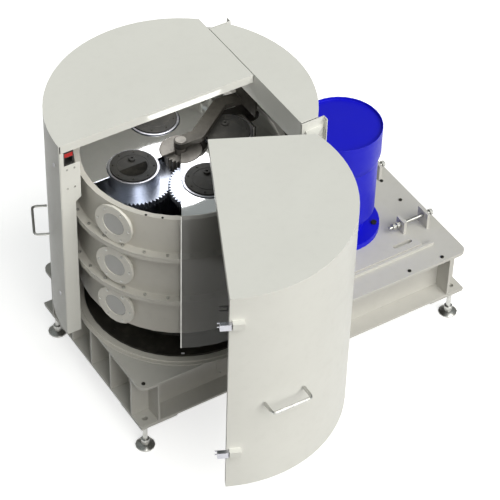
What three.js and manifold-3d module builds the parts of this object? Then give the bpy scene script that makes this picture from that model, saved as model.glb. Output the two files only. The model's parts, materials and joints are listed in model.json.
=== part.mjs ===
// Planetary drum machine: a drum of three stacked housings turns on a welded base, carries four
// geared barrels round a fixed sun gear, and stands inside a cylindrical sheet guard with two doors.
// Millimetres, +Z up. Inside the group `machine` the origin is on the drum's axis, level with the
// top face of the base plate; the motor is on the +X side and the open door is on the -Y side.
import * as THREE from "three";
import { mergeVertices } from "three/addons/utils/BufferGeometryUtils.js";
import Module from "manifold-3d";

const wasm = await Module();
wasm.setup();

// ---------- driving dimensions ----------
const seat = 0.5; // gap between pieces that rest on each other
const running = 1.5; // gap between pieces that turn past each other
const sheet = 3; // guard sheet thickness

const guardRadius = 600;

// base
const baseLeft = -guardRadius + 116;
const baseRight = guardRadius + 726;
const baseHalfWidth = guardRadius - 128;
const plateThick = 16;
const plateCorner = 42;
const frameDepth = 259; // top of the plate to the underside of the bottom flange
const flangeThick = 12;
const flangeWidth = 190;
const webThick = 12;
const webInset = 95; // outer edge of the plate to the middle of a web
const padSize = 190;
const padThick = 10;
const footInset = 44;
const footDrop = 171; // underside of the bottom flange to the floor
const footRadius = 47;
const stemRadius = 12;

// drum
const wallRadius = 475;
const wallThick = 12;
const ringRadius = 514;
const drumBottom = 190;
const flangePair = 27;
const windowAngle = 203.5;
const windowRadius = 100;
const paneRadius = 57;
const lowerJoint = drumBottom + 2 * windowRadius + 8; // underside of the lower pair of bolted flanges
const upperJoint = lowerJoint + flangePair + 2 * windowRadius + 30;
const jointHeights = [lowerJoint, upperJoint];
const windowHeights = [
  drumBottom + windowRadius + 3,
  lowerJoint + flangePair + windowRadius + 15,
  upperJoint + flangePair + windowRadius + 3,
];
const drumTop = windowHeights[2] + windowRadius - 5;
const turntableRadius = 452;
const baseRingRadius = 498;
const baseRingStep = 480; // outer radius of the raised part of the base ring
const turntableTop = 24;
const turntableThick = 11;
const hubRadius = 330;
const shieldRadius = 525;
const shieldThick = 5;
const shieldBottom = 146;
const shieldTop = drumTop + 65;
const sectorStart = 180; // the sector left open in the cover, degrees
const sectorEnd = 240; // and the end of the screen's opening
const shieldStart = 170;
const coverTop = drumTop - 12;

// guard
const roofClearance = 258; // from the drum's rim to the top of the roof
const guardTop = drumTop + roofClearance;
const guardBottom = 4; // lower edge of the doors, just clear of the base plate
const chordX = 375; // middle of the joint between the doors and the fixed segment
const chordGap = 4;
const doorEdgeY = Math.sqrt(guardRadius ** 2 - (chordX - chordGap / 2) ** 2); // ends of the closed doors
const fixedHalfWidth = doorEdgeY - 84;
const lintelDepth = 141;
const roofFlange = 43;
const doorOpen = 64.13; // degrees the front door stands open
const hingeX = 387.7;
const hingeY = doorEdgeY - 14.37;
const seamGap = 3;
const doorFlange = 32;
const postWide = 100;
const postNarrow = 73;
const postStepZ = guardTop - 335;
const postNotchTop = guardTop - 46;
const postNotchBottom = guardTop - 122;

// planetary train
const orbit = 240;
const barrelTeeth = 60;
const sunTeeth = 24;
const toothModule = (2 * orbit) / (barrelTeeth + sunTeeth);
const gearThick = 30;
const lowGearZ = drumTop - 107;
const highGearZ = drumTop - 66;
const barrelRadius = 115;
const barrelTop = drumTop - 8;
const capRadius = 105;
const capRise = 8;
const postRadius = 25;
const postTop = drumTop + 46;

// drive
const motorX = guardRadius + 267;
const motorTop = 650;
const cowlRadius = 198;
const motorRadius = 186;
const motorNeckRadius = 140;
const motorBodyBottom = 150;
const motorFlangeRadius = 217;
const motorFlangeTop = 50;
const slideThick = 20;
const slideLeft = guardRadius + 40;
const slideRight = guardRadius + 550;
const slideHalfWidth = 335;
const tensionY = 205;
const tensionZ = 62;
const drumPulleyRadius = 230;
const motorPulleyRadius = 75;
const pulleyWidth = 60;
const beltThick = 9;
const pulleyTop = -60;

// ---------- shape helpers ----------
const deg = Math.PI / 180;
const polar = (radius, angle) => [radius * Math.cos(angle * deg), radius * Math.sin(angle * deg)];

function box(x0, x1, y0, y1, z0, z1) {
  const block = new THREE.BoxGeometry(x1 - x0, y1 - y0, z1 - z0);
  return block.translate((x0 + x1) / 2, (y0 + y1) / 2, (z0 + z1) / 2);
}

function rod(radius, z0, z1, x = 0, y = 0, sides = 24) {
  const cylinder = new THREE.CylinderGeometry(radius, radius, z1 - z0, sides);
  return cylinder.rotateX(Math.PI / 2).translate(x, y, (z0 + z1) / 2);
}

// A closed profile of [radius, height] points turned about +Z.
function turned(profile, sides = 40) {
  const points = profile.map(([r, z]) => new THREE.Vector2(r, z));
  return new THREE.LatheGeometry(points, sides).rotateX(Math.PI / 2);
}

function ring(outer, inner, z0, z1, sides = 40) {
  return turned([[inner, z0], [outer, z0], [outer, z1], [inner, z1], [inner, z0]], sides);
}

// A flat outline of [x, y] points raised from z0 to z1, with optional round holes [x, y, radius].
function slab(outline, z0, z1, holes = []) {
  const shape = new THREE.Shape(outline.map(([x, y]) => new THREE.Vector2(x, y)));
  for (const [x, y, radius] of holes) {
    shape.holes.push(new THREE.Path().absarc(x, y, radius, 0, 2 * Math.PI, true));
  }
  const options = { depth: z1 - z0, bevelEnabled: false, curveSegments: 6 };
  return new THREE.ExtrudeGeometry(shape, options).translate(0, 0, z0);
}

function arcPoints(radius, from, to, steps) {
  return Array.from({ length: steps + 1 }, (_, i) => polar(radius, from + ((to - from) * i) / steps));
}

// Part of a ring between two angles.
function arcBand(outer, inner, from, to, z0, z1, steps = 24) {
  return slab([...arcPoints(outer, from, to, steps), ...arcPoints(inner, to, from, steps)], z0, z1);
}

function roundedRectangle(x0, x1, halfWidth, corner) {
  const quarter = (x, y, start) =>
    arcPoints(corner, start, start + 90, 5).map(([dx, dy]) => [x + dx, y + dy]);
  return [
    ...quarter(x1 - corner, halfWidth - corner, 0),
    ...quarter(x0 + corner, halfWidth - corner, 90),
    ...quarter(x0 + corner, corner - halfWidth, 180),
    ...quarter(x1 - corner, corner - halfWidth, 270),
  ];
}

function solid(geometry) {
  const bare = new THREE.BufferGeometry();
  const flat = geometry.index ? geometry.toNonIndexed() : geometry;
  bare.setAttribute("position", flat.getAttribute("position"));
  const merged = mergeVertices(bare, 1e-3);
  return new wasm.Manifold(
    new wasm.Mesh({
      numProp: 3,
      vertProperties: merged.getAttribute("position").array,
      triVerts: new Uint32Array(merged.index.array),
    }),
  );
}

function surface(body) {
  const mesh = body.getMesh();
  const geometry = new THREE.BufferGeometry();
  geometry.setAttribute("position", new THREE.BufferAttribute(mesh.vertProperties, 3));
  geometry.setIndex(new THREE.BufferAttribute(mesh.triVerts, 1));
  const flat = geometry.toNonIndexed();
  flat.computeVertexNormals();
  return flat;
}

const joined = (...geometries) => surface(geometries.map(solid).reduce((a, b) => a.add(b)));
const cut = (geometry, ...tools) =>
  surface(tools.reduce((body, tool) => body.subtract(solid(tool)), solid(geometry)));

// ---------- finishes: colour, roughness, metalness ----------
const finishes = {
  paint: ["#dcdcd6", 0.45, 0],
  doorPaint: ["#e0ddd2", 0.4, 0],
  castPaint: ["#b9b6ad", 0.5, 0],
  black: ["#141412", 0.5, 0.1],
  steel: ["#a9adb3", 0.3, 1],
  brightSteel: ["#d5d6da", 0.15, 1],
  gearSteel: ["#7c8494", 0.28, 1],
  darkSteel: ["#4a4844", 0.45, 0.8],
  capGrey: ["#3d3d3b", 0.5, 0.3],
  mirror: ["#f6f6f6", 0.03, 1],
  blue: ["#1212c8", 0.35, 0],
  glass: ["#e8ecec", 0.1, 0],
  tint: ["#9a9a98", 0.08, 0],
  rubber: ["#1b1b1b", 0.8, 0],
  red: ["#c01c20", 0.4, 0],
};

function addPiece(parent, name, geometry, finish) {
  const [color, roughness, metalness] = finishes[finish];
  const mesh = new THREE.Mesh(geometry, new THREE.MeshStandardMaterial({ color, roughness, metalness }));
  mesh.name = name;
  parent.add(mesh);
}

// ---------- base ----------
const flangeBottom = -frameDepth;
const flangeTop = flangeBottom + flangeThick;
const webTop = -plateThick - seat;
const webBottom = flangeTop + seat;
const floorZ = flangeBottom - footDrop;
const webLeft = baseLeft + webInset;
const webRight = baseRight - webInset;
const webY = baseHalfWidth - webInset;
const footSpots = [
  [baseLeft + footInset, -baseHalfWidth + footInset],
  [baseRight - footInset, -baseHalfWidth + footInset],
  [baseRight - footInset, baseHalfWidth - footInset],
  [baseLeft + footInset, baseHalfWidth - footInset],
];
const shaftRadius = 60;
const bearingRadius = 130;
const slideTravel = 20; // how far the motor can be moved towards the drum to slacken the belt

function basePlate() {
  const outline = roundedRectangle(baseLeft, baseRight, baseHalfWidth, plateCorner);
  const plate = slab(outline, -plateThick, 0);
  const bearingHole = rod(bearingRadius + seat, -plateThick - 1, 1, 0, 0, 32);
  const railGap = slideHalfWidth + running;
  const railEnd = slideRight + 60;
  const rails = [-1, 1].map((side) => {
    const near = side * railGap;
    const far = side * (railGap + 16);
    return box(slideLeft - slideTravel, railEnd, Math.min(near, far), Math.max(near, far), -1, 14);
  });
  const brackets = [-1, 1].map((side) => {
    const y = side * tensionY;
    const ear = box(fixedEarX, fixedEarX + 16, y - 40, y + 40, -1, tensionZ + 28);
    return cut(ear, boltHole(y));
  });
  const shaftSlot = box(
    motorX - slideTravel - motorPulleyRadius - 10,
    motorX + motorPulleyRadius + 10,
    -motorPulleyRadius - 10,
    motorPulleyRadius + 10,
    -plateThick - 1,
    1,
  );
  return cut(joined(plate, ...rails, ...brackets), shaftSlot, bearingHole);
}

const fixedEarX = slideRight + 92;
const movingEarX = slideRight - 40;
const boltRadius = 9;

function boltHole(y) {
  const hole = new THREE.CylinderGeometry(boltRadius + running, boltRadius + running, 80, 12);
  return hole.rotateZ(Math.PI / 2).translate(fixedEarX, y, tensionZ);
}

function bottomFlange() {
  const x0 = baseLeft;
  const x1 = baseRight;
  const y1 = baseHalfWidth;
  const outer = box(x0, x1, -y1, y1, flangeBottom, flangeTop);
  const opening = box(
    x0 + flangeWidth,
    x1 - flangeWidth,
    -y1 + flangeWidth,
    y1 - flangeWidth,
    flangeBottom - padThick - 1,
    flangeTop + 1,
  );
  const pads = footSpots.map(([x, y]) => {
    const px0 = x < 0 ? x0 + 2 : x1 - 2 - padSize;
    const py0 = y < 0 ? -y1 + 2 : y1 - 2 - padSize;
    return box(px0, px0 + padSize, py0, py0 + padSize, flangeBottom - padThick, flangeBottom + 1);
  });
  const holes = footSpots.map(([x, y]) =>
    rod(stemRadius + running, flangeBottom - padThick - 1, flangeTop + 1, x, y, 16),
  );
  return cut(joined(outer, ...pads), opening, ...holes);
}

// The long webs are slotted from above and the cross webs from below, so that they lock together.
const lapZ = (webTop + webBottom) / 2;

function longWeb(side) {
  const y = side * webY;
  const web = box(baseLeft, baseRight, y - webThick / 2, y + webThick / 2, webBottom, webTop);
  const slots = [webLeft, webRight].map((x) =>
    box(
      x - webThick / 2 - seat,
      x + webThick / 2 + seat,
      y - webThick,
      y + webThick,
      lapZ - seat,
      webTop + 1,
    ),
  );
  return cut(web, ...slots);
}

function crossWeb(x, ribs) {
  const half = baseHalfWidth - seat;
  const web = box(x - webThick / 2, x + webThick / 2, -half, half, webBottom, webTop);
  const slots = [-webY, webY].map((y) =>
    box(x - webThick, x + webThick, y - webThick / 2 - seat, y + webThick / 2 + seat, webBottom - 1, lapZ),
  );
  const ribPlates = ribs.map((y) =>
    box(baseLeft, x, y - webThick / 2, y + webThick / 2, webBottom, webTop),
  );
  return joined(cut(web, ...slots), ...ribPlates);
}

function foot([x, y]) {
  const stemTop = flangeBottom + 3;
  const collar = 20.5;
  return turned(
    [
      [0, floorZ],
      [footRadius, floorZ],
      [footRadius, floorZ + 9],
      [footRadius - 12, floorZ + 17],
      [collar, floorZ + 22],
      [collar, floorZ + 48],
      [stemRadius, floorZ + 52],
      [stemRadius, stemTop],
      [0, stemTop],
    ],
    12,
  ).translate(x, y, 0);
}

// ---------- guard ----------
const fixedX = chordX + chordGap / 2;
const doorX = chordX - chordGap / 2;
const fixedAngle = Math.asin(fixedHalfWidth / guardRadius) / deg;
const cornerAngle = Math.acos(doorX / guardRadius) / deg;
const roofBottom = guardTop - sheet;

function fixedWall() {
  const end = fixedAngle - 0.4;
  return arcBand(guardRadius, guardRadius - sheet, -end, end, seat, roofBottom - seat, 16);
}

function fixedRoof() {
  const end = fixedAngle - 0.4;
  const arc = arcPoints(guardRadius, -end, end, 16);
  const flat = arc[0][1];
  const plate = slab([[fixedX, flat], ...arc, [fixedX, -flat]], roofBottom, guardTop);
  const lintel = box(fixedX, fixedX + sheet, flat, -flat, guardTop - lintelDepth, roofBottom + 1);
  return joined(plate, lintel);
}

const leafThick = 12;
const leafHeights = [110, 1078];
const pinRadius = 8;

// A folded corner post at each end of the fixed segment, with three leaves that hold the door's pin.
function hingePost(side) {
  const face = side * (fixedHalfWidth + seat);
  const back = face + side * 4;
  const tip = 492;
  const low = (a, b) => Math.min(a, b);
  const high = (a, b) => Math.max(a, b);
  const plate = box(fixedX, tip, low(face, back), high(face, back), seat, guardTop - 2);
  const lipOut = back + side * 26;
  const lip = box(tip - 4, tip, low(face, lipOut), high(face, lipOut), seat, guardTop - 2);
  const leaves = leafHeights.map((z) =>
    slab(
      [
        [fixedX + 20, back - side],
        [hingeX - 14, side * hingeY],
        [hingeX + 4, side * (hingeY + 14)],
        [hingeX + 18, side * hingeY],
        [tip, back - side],
      ],
      z,
      z + leafThick,
    ),
  );
  const pins = leafHeights.map((z) => rod(pinRadius, z - 30, z + leafThick - 1, hingeX, side * hingeY, 12));
  return joined(plate, lip, ...leaves, ...pins);
}

// A door is drawn closed, with side -1 for the front one and +1 for the back one.
function doorWall(side, seamFlange) {
  const top = roofBottom - seat;
  const steps = 28;
  const from = 180 + side * -0.3;
  const to = side > 0 ? cornerAngle : 360 - cornerAngle;
  const wall = arcBand(guardRadius, guardRadius - sheet, from, to, guardBottom, top, steps);
  const cornerY = side * Math.sqrt(guardRadius ** 2 - doorX ** 2);
  const inner = cornerY - side * doorFlange;
  const y0 = Math.min(cornerY - side * 2, inner);
  const y1 = Math.max(cornerY - side * 2, inner);
  const pieces = [wall, box(doorX - sheet, doorX, y0, y1, guardBottom, top)];
  if (seamFlange) {
    const seamY = side * seamGap;
    const x0 = -guardRadius + 1;
    pieces.push(
      box(x0, x0 + seamFlange, Math.min(seamY, seamY + side * sheet), Math.max(seamY, seamY + side * sheet),
        guardBottom, guardTop - roofFlange - seat),
    );
  }
  pieces.push(...leafHeights.map((z) => knuckle(side, z)));
  if (side < 0) pieces.push(...latchHeights.map((z) => placeAtWall(latchSeat(), z)));
  return joined(...pieces);
}

// Each knuckle hangs just below its leaf and turns on the pin.
function knuckle(side, z) {
  const y = side * hingeY;
  const barrel = rod(pinRadius + 7, z - 30, z - running, hingeX, y, 16);
  const strapY = [y, y - side * 4].sort((a, b) => a - b);
  const strap = box(doorX - 60, hingeX, ...strapY, z - 30, z - running);
  const bore = rod(pinRadius + 0.8, z - 31, z, hingeX, y, 12);
  return cut(joined(barrel, strap), bore);
}

function doorRoof(side) {
  const steps = 28;
  const to = side > 0 ? cornerAngle : 360 - cornerAngle;
  const seamY = side * seamGap;
  const arc = arcPoints(guardRadius, 180 + side * -0.3, to, steps);
  const outline = [[doorX, seamY], [arc[0][0], seamY], ...arc];
  const plate = slab(outline, roofBottom, guardTop);
  const inX = -guardRadius + 6 + sheet;
  const flangeZ = guardTop - roofFlange;
  const seamFlange = box(
    inX,
    doorX,
    Math.min(seamY, seamY + side * sheet),
    Math.max(seamY, seamY + side * sheet),
    flangeZ,
    roofBottom + 1,
  );
  const far = side * (Math.sqrt(guardRadius ** 2 - doorX ** 2) - doorFlange - 6);
  const [y0, y1] = [seamY, far].sort((a, b) => a - b);
  const chordFlange = box(doorX - sheet, doorX, y0, y1, flangeZ, roofBottom + 1);
  return joined(plate, seamFlange, chordFlange);
}

function backPost() {
  const y0 = seamGap;
  const x0 = -guardRadius + sheet + 1.2;
  const top = guardTop - roofFlange - seat;
  const wide = -guardRadius + postWide;
  const narrow = -guardRadius + postNarrow;
  const outline = [
    [x0, guardBottom],
    [narrow, guardBottom],
    [narrow, postStepZ - 8],
    [wide, postStepZ + 12],
    [wide, postNotchBottom],
    [x0 + 18, postNotchBottom],
    [x0 + 18, postNotchTop],
    [x0, top],
  ];
  return slab(outline, 0, sheet).rotateX(Math.PI / 2).translate(0, y0 + sheet, 0);
}

// A bow handle: two stand-offs and a grip, swept along one bent line.
const handleZ = 503;
const handleAngle = 24.4; // from the seam, along the wall
const handleSpan = 190;
const handleReach = 68;
const handleThick = 7;

function handle(side) {
  const half = handleSpan / 2;
  const bend = 16;
  const route = new THREE.CurvePath();
  const corners = [[0, -half], [handleReach, -half], [handleReach, half], [0, half]];
  const points = corners.map(([x, y]) => new THREE.Vector3(x, y, 0));
  const a = new THREE.Vector3(handleReach - bend, -half, 0);
  const b = new THREE.Vector3(handleReach, -half + bend, 0);
  const c = new THREE.Vector3(handleReach, half - bend, 0);
  const d = new THREE.Vector3(handleReach - bend, half, 0);
  route.add(new THREE.LineCurve3(points[0], a));
  route.add(new THREE.QuadraticBezierCurve3(a, points[1], b));
  route.add(new THREE.LineCurve3(b, c));
  route.add(new THREE.QuadraticBezierCurve3(c, points[2], d));
  route.add(new THREE.LineCurve3(d, points[3]));
  const round = arcPoints(handleThick, 0, 300, 5);
  const section = new THREE.Shape(round.map(([x, y]) => new THREE.Vector2(x, y)));
  const bow = new THREE.ExtrudeGeometry(section, { steps: 24, extrudePath: route, bevelEnabled: false });
  const angle = 180 - side * handleAngle;
  const chordRadius = Math.sqrt(guardRadius ** 2 - half ** 2) + 8;
  const [x, y] = polar(chordRadius, angle);
  return bow.rotateZ(angle * deg).translate(x, y, handleZ);
}

// ---------- latches and interlock ----------
const latchHeights = [232, 1000];
const latchPivotAngle = 180.4; // where the latch pivots stand round the closed front door
const latchHeight = 32;
const latchReach = 42;
const latchBase = 50;
const latchLift = 5; // wall to the underside of the latch
const latchThick = 20;

// Drawn at the guard's radius with +X out of the wall and the arm along -Y, past the door's edge.
function latchArm() {
  const half = latchHeight / 2;
  const middle = latchLift + latchThick / 2;
  const block = box(latchLift, latchLift + latchThick, -latchReach, 0, -half, half);
  const knuckle = rod(latchThick / 2, -half, half, middle, 0, 16);
  const claw = box(latchLift - 3, latchLift + 1, -latchReach - 9, -12, -13, 13);
  const fork = box(latchLift - 4, latchLift + 2, -latchReach - 10, -latchReach + 2, -8, 8);
  return cut(joined(block, knuckle, claw), fork);
}

function latchSeat() {
  const half = latchHeight / 2;
  const start = latchThick / 2 + seat;
  return box(-4, latchLift + latchThick, start, start + latchBase, -half, half);
}

function placeAtWall(geometry, z) {
  const [x, y] = polar(guardRadius, latchPivotAngle);
  return geometry.rotateZ(latchPivotAngle * deg).translate(x, y, z);
}

const switchX = -guardRadius + 47;
const switchHeight = 68;
const tongueZ = postNotchBottom + 24;
const tongueHalf = 15;

function interlockSwitch() {
  const x0 = switchX - 22;
  const x1 = switchX + 24;
  const z0 = postNotchBottom + 2;
  const z1 = z0 + switchHeight;
  const body = box(x0, x1, seamGap + sheet + 1, seamGap + sheet + 62, z0, z1);
  const slot = tongueHalf + running;
  const mouth = box(x0 + 6, x1 - 6, seamGap, seamGap + sheet + 50, tongueZ - slot, tongueZ + slot);
  return cut(body, mouth);
}

function interlockTongue() {
  const back = -seamGap - sheet;
  const body = box(switchX - 16, switchX + 14, back - 18, back - seat, tongueZ - 36, tongueZ + 36);
  const blade = box(switchX - 4, switchX + 2, back - 10, 36, tongueZ - tongueHalf, tongueZ + tongueHalf);
  const gap = box(switchX - 5, switchX + 3, 4, 37, tongueZ - tongueHalf + 7, tongueZ + tongueHalf - 7);
  return cut(joined(body, blade), gap);
}

// ---------- drum ----------
function drumHousing(bottom, top, lowFlange, highFlange) {
  const inner = wallRadius - wallThick;
  const profile = [[inner, bottom]];
  if (lowFlange) {
    profile.push([ringRadius, bottom], [ringRadius, bottom + lowFlange], [wallRadius, bottom + lowFlange]);
  } else {
    profile.push([wallRadius, bottom]);
  }
  if (highFlange) {
    profile.push([wallRadius, top - highFlange], [ringRadius, top - highFlange], [ringRadius, top]);
  } else {
    profile.push([wallRadius, top]);
  }
  profile.push([inner, top], [inner, bottom]);
  return turned(profile);
}

const neckRadius = 82;
const windowFace = 496; // radius of the window flange's outer face
const windowFlange = 12;
const windowSides = 20;

// A turned piece whose axis points out of the drum at the window angle.
function windowPiece(profile, z, sides) {
  const piece = turned(profile, sides).rotateY(Math.PI / 2);
  return piece.rotateZ(windowAngle * deg).translate(0, 0, z);
}

function windowCutter(z) {
  const r = neckRadius + running;
  const [near, far] = [wallRadius - 40, wallRadius + 40];
  return windowPiece([[0, near], [r, near], [r, far], [0, far]], z, windowSides);
}

function sightWindow(z) {
  const back = windowFace - windowFlange;
  const profile = [
    [paneRadius, wallRadius - wallThick],
    [neckRadius, wallRadius - wallThick],
    [neckRadius, back],
    [windowRadius, back],
    [windowRadius, windowFace],
    [paneRadius, windowFace],
    [paneRadius, wallRadius - wallThick],
  ];
  return windowPiece(profile, z, windowSides);
}

function sightGlass(z) {
  const face = windowFace - 4;
  const r = paneRadius - seat;
  return windowPiece([[0, face - 10], [r, face - 10], [r, face], [0, face]], z, windowSides);
}

const fromOpen = sectorEnd;
const toOpen = sectorStart + 360;

function topCover() {
  const bottom = coverTop - 6;
  const rim = wallRadius - 27 - running;
  const outer = arcBand(rim, sunHole, fromOpen, toOpen, bottom, coverTop, 30);
  const holes = [0, 90, 180, 270].map((angle) =>
    rod(barrelRadius + 4, bottom - 1, coverTop + 1, ...polar(orbit, angle), 24),
  );
  return cut(outer, ...holes);
}

const sunHole = 96;

function centreDisc() {
  return arcBand(sunHole - running, postRadius + 3, fromOpen, toOpen, coverTop - 5, coverTop + 3, 18);
}

function upperHousing() {
  const wall = drumHousing(jointHeights[1] + flangePair / 2 + seat / 2, drumTop, flangePair / 2, 0);
  const rim = ring(wallRadius - 2, wallRadius - 27, drumTop - 12, drumTop);
  return cut(joined(wall, rim), windowCutter(windowHeights[2]));
}

function middleHousing() {
  const low = jointHeights[0] + flangePair / 2 + seat / 2;
  const high = jointHeights[1] + flangePair / 2 - seat / 2;
  return cut(drumHousing(low, high, flangePair / 2, flangePair / 2), windowCutter(windowHeights[1]));
}

function lowerHousing() {
  const high = jointHeights[0] + flangePair / 2 - seat / 2;
  const wall = drumHousing(drumBottom, high, 0, flangePair / 2);
  const floor = ring(wallRadius - 5, shaftRadius + seat, drumBottom, drumBottom + 14);
  return cut(joined(wall, floor), windowCutter(windowHeights[0]));
}

// A fixed screen round the drum, held off the fixed guard wall by blocks, open where the drum is inspected.
function shield() {
  const inner = shieldRadius - shieldThick;
  const screen = arcBand(shieldRadius, inner, fromOpen, shieldStart + 360, shieldBottom, shieldTop, 36);
  const blocks = [-25, 0, 25].flatMap((angle) =>
    [shieldBottom + 60, shieldTop - 100].map((z) => {
      const block = box(shieldRadius - 3, guardRadius - sheet - 3, -14, 14, z, z + 40);
      return block.rotateZ(angle * deg);
    }),
  );
  return joined(screen, ...blocks);
}

function turntable() {
  return ring(turntableRadius, hubRadius - 40, turntableTop - turntableThick, turntableTop, 48);
}

function baseRing() {
  const inner = turntableRadius - 44;
  const top = turntableTop - turntableThick - running;
  return turned([
    [inner, seat],
    [baseRingRadius, seat],
    [baseRingRadius, seat + 5],
    [baseRingStep, seat + 5],
    [baseRingStep, top],
    [inner, top],
    [inner, seat],
  ], 48);
}

function drumHub() {
  const top = drumBottom - seat;
  const foot = turntableTop + seat;
  return turned([
    [shaftRadius + seat, foot],
    [hubRadius, foot],
    [hubRadius - 30, foot + 45],
    [hubRadius - 30, top - 20],
    [hubRadius + 60, top],
    [shaftRadius + seat, top],
    [shaftRadius + seat, foot],
  ], 32);
}

const pulleyBottom = pulleyTop - pulleyWidth;

function drumShaft() {
  return turned(
    [
      [0, pulleyBottom - 12],
      [shaftRadius, pulleyBottom - 12],
      [shaftRadius, pulleyBottom],
      [drumPulleyRadius, pulleyBottom],
      [drumPulleyRadius, pulleyTop],
      [shaftRadius, pulleyTop],
      [shaftRadius, drumBottom + 26],
      [0, drumBottom + 26],
    ],
    32,
  );
}

function shaftBearing() {
  return turned([
    [shaftRadius + running, -44],
    [bearingRadius, -44],
    [bearingRadius, 2],
    [bearingRadius + 40, 2],
    [bearingRadius + 40, 10],
    [shaftRadius + running, 10],
    [shaftRadius + running, -44],
  ], 32);
}

// ---------- planetary train ----------
// A spur gear with pointed, straight-flanked teeth and V-shaped gaps; `phase` turns it in tooth pitches.
function gearOutline(teeth, phase) {
  const pitchRadius = (toothModule * teeth) / 2;
  const tip = pitchRadius + 0.92 * toothModule;
  const root = pitchRadius - 1.5 * toothModule;
  const pitch = 360 / teeth;
  const points = [];
  for (let i = 0; i < teeth; i += 1) {
    const middle = (i + phase) * pitch;
    points.push(polar(tip, middle - 0.06 * pitch));
    points.push(polar(tip, middle + 0.06 * pitch));
    points.push(polar(root, middle + 0.5 * pitch));
  }
  return points;
}

function barrelWithGear(gearZ) {
  const bottom = drumBottom + 30;
  const wall = 8;
  const barrel = turned(
    [
      [0, bottom],
      [barrelRadius, bottom],
      [barrelRadius, barrelTop],
      [barrelRadius - wall, barrelTop],
      [barrelRadius - wall, bottom + wall],
      [0, bottom + wall],
    ],
    24,
  );
  const bore = rod(barrelRadius - wall / 2, gearZ - 1, gearZ + gearThick + 1, 0, 0, 24);
  const gear = cut(slab(gearOutline(barrelTeeth, 0.5), gearZ, gearZ + gearThick), bore);
  return joined(barrel, gear);
}

function barrelCap() {
  const skirt = barrelTop - 34;
  return turned(
    [
      [0, barrelTop - 10],
      [capRadius - 12, barrelTop - 10],
      [capRadius - 12, skirt],
      [capRadius, skirt],
      [capRadius, barrelTop + capRise],
      [0, barrelTop + capRise],
    ],
    24,
  );
}

// ---------- arm and sun ----------
const armTop = postTop - 4;
const armZ = armTop - 24;

function supportArm() {
  const bend1 = [88, -1];
  const bend2 = [286, 139];
  const boss = [427, 127];
  const half = 31;
  const bar = (from, to, w) => {
    const dx = to[0] - from[0];
    const dy = to[1] - from[1];
    const length = Math.hypot(dx, dy);
    const turn = Math.atan2(dy, dx);
    return box(0, length, -w, w, armZ, armTop).rotateZ(turn).translate(from[0], from[1], 0);
  };
  const eye = rod(half, armZ - 8, armTop, 0, 0, 24);
  const knees = [bend1, bend2].map(([x, y]) => rod(half, armZ, armTop, x, y, 16));
  const head = rod(55, armZ, armTop + 14, ...boss, 24);
  const bars = [bar([0, 0], bend1, half), bar(bend1, bend2, half), bar(bend2, boss, half)];
  const tab = box(fixedX + sheet + seat, fixedX + sheet + 9, -10, 150, armZ, guardTop - 20);
  const strut = box(fixedX + sheet + 1, boss[0], boss[1] - 25, boss[1] + 25, armZ, armTop);
  const postHole = rod(postRadius + seat, armZ - 40, armTop + 5, 0, 0, 24);
  return cut(joined(eye, ...knees, head, ...bars, strut, tab), postHole);
}

function centrePost() {
  return rod(postRadius, lowGearZ - 20, postTop, 0, 0, 24);
}

function sunGear() {
  const bottom = lowGearZ - 6;
  const top = highGearZ + gearThick + 8;
  const bore = rod(postRadius + seat, bottom - 1, top + 1, 0, 0, 24);
  return cut(slab(gearOutline(sunTeeth, 0), bottom, top), bore);
}

// ---------- drive ----------
function motorBody() {
  const base = slideThick + seat;
  const bodyTop = motorTop - 190;
  return turned(
    [
      [0, base],
      [motorFlangeRadius, base],
      [motorFlangeRadius, motorFlangeTop],
      [motorNeckRadius, motorFlangeTop],
      [motorNeckRadius, motorBodyBottom],
      [motorRadius, motorBodyBottom],
      [motorRadius, bodyTop - seat],
      [0, bodyTop - seat],
    ],
    36,
  ).translate(motorX, 0, 0);
}

function motorCowl() {
  const bodyTop = motorTop - 190;
  const wall = 4;
  return turned(
    [
      [0, bodyTop],
      [motorRadius, bodyTop],
      [cowlRadius, bodyTop + 44],
      [cowlRadius, motorTop],
      [cowlRadius - wall, motorTop],
      [cowlRadius - wall, motorTop - 14],
      [0, motorTop - 14],
    ],
    36,
  ).translate(motorX, 0, 0);
}

function motorShaft() {
  return turned(
    [
      [0, pulleyBottom],
      [motorPulleyRadius, pulleyBottom],
      [motorPulleyRadius, pulleyTop],
      [24, pulleyTop],
      [24, slideThick - 2],
      [0, slideThick - 2],
    ],
    32,
  ).translate(motorX, 0, 0);
}

function slidePlate() {
  const shape = new THREE.Shape();
  shape.moveTo(slideLeft, -slideHalfWidth);
  shape.lineTo(slideRight, -slideHalfWidth);
  shape.lineTo(slideRight, slideHalfWidth);
  shape.lineTo(slideLeft, slideHalfWidth);
  shape.closePath();
  shape.holes.push(new THREE.Path().absarc(motorX, 0, 24 + running, 0, 2 * Math.PI, true));
  const slotRadius = 11;
  for (const x of [slideLeft + 40, slideRight - 124]) {
    for (const y of [-290, 290]) {
      const slot = new THREE.Path();
      slot.absarc(x, y, slotRadius, -Math.PI / 2, Math.PI / 2, true);
      slot.absarc(x + 84, y, slotRadius, Math.PI / 2, -Math.PI / 2, true);
      shape.holes.push(slot);
    }
  }
  const options = { depth: slideThick - seat, bevelEnabled: false, curveSegments: 6 };
  const plate = new THREE.ExtrudeGeometry(shape, options).translate(0, 0, seat);
  const ears = [-1, 1].map((side) => {
    const y = side * tensionY;
    const ear = box(movingEarX, movingEarX + 16, y - 32, y + 32, slideThick - 1, tensionZ + 28);
    const hole = boltHole(y).translate(movingEarX - fixedEarX, 0, 0);
    return cut(ear, hole);
  });
  return joined(plate, ...ears);
}

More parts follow.
